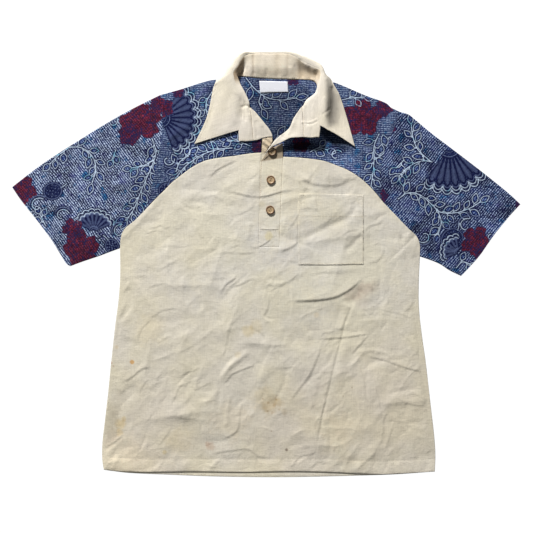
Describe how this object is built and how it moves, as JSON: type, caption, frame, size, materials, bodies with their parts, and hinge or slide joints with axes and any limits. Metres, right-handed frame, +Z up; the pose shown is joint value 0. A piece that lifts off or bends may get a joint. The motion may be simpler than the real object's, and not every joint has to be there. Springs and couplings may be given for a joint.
{
  "type": "short-sleeved pullover shirt laid flat",
  "caption": "Casual pullover shirt laid flat: natural cotton body, collar, half placket and chest pocket, with leaf-and-flower print yoke and short sleeves",
  "frame": {"origin": "middle of the underside of the laid-out shirt's box, on the surface it lies on", "axes": "+X to the wearer's left across the sleeves, +Y towards the collar, +Z up off the surface, with the front facing up"},
  "size_m": [0.9144, 0.7654, 0.0208],
  "materials": {
    "natural_cotton": "unbleached cream cotton, plain weave with a dry hand, softly creased",
    "printed_cotton": "indigo-blue cotton with a pale leaf-and-flower print and dark red blossoms",
    "coconut_shell": "turned coconut shell, satin",
    "label_satin": "plain white woven label, no lettering"
  },
  "bodies": {
    "root": {"back_body": "natural_cotton", "back_yoke": "printed_cotton", "front_body": "natural_cotton", "front_yoke_right": "printed_cotton", "front_yoke_left": "printed_cotton", "sleeve_right": "printed_cotton", "sleeve_left": "printed_cotton", "chest_pocket": "natural_cotton", "placket_under": "natural_cotton", "placket_over": "natural_cotton", "facing_right": "natural_cotton", "facing_left": "natural_cotton", "collar_stand": "natural_cotton", "collar_leaf": "natural_cotton", "button_1": "coconut_shell", "button_2": "coconut_shell", "button_3": "coconut_shell", "neck_label": "label_satin"}
  },
  "joints": []
}
